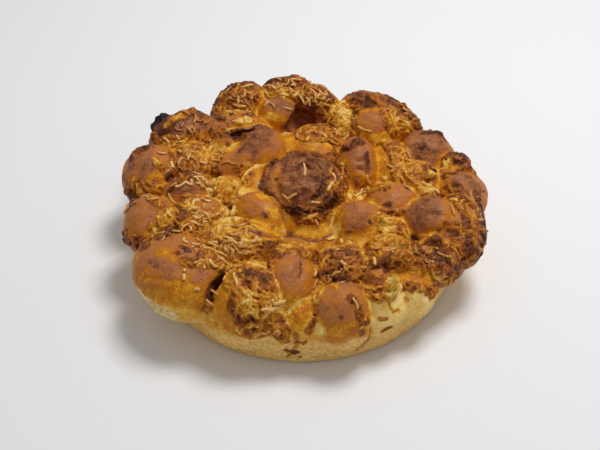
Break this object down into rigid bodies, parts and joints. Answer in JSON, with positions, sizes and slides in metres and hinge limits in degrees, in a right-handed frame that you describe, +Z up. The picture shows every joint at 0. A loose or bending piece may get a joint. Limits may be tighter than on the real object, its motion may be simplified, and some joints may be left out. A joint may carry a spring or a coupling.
{
  "type": "pull-apart bread",
  "caption": "Round pull-apart loaf of dough knobs risen together in a shallow tin, with a flat underside, a sloping pale wall and grated cheese baked onto its crust.",
  "frame": {"origin": "middle of the flat underside", "axes": "+Z up, +X to the right and +Y to the back as the picture shows the loaf"},
  "size_m": [0.2282, 0.214, 0.067],
  "materials": {
    "crust": "baked bread crust, golden to brown, slightly glossy with fat",
    "cheese": "grated cheese, melted and toasted on",
    "herb": "small baked flakes of green herb"
  },
  "bodies": {
    "root": {"loaf": "crust"}
  },
  "joints": []
}
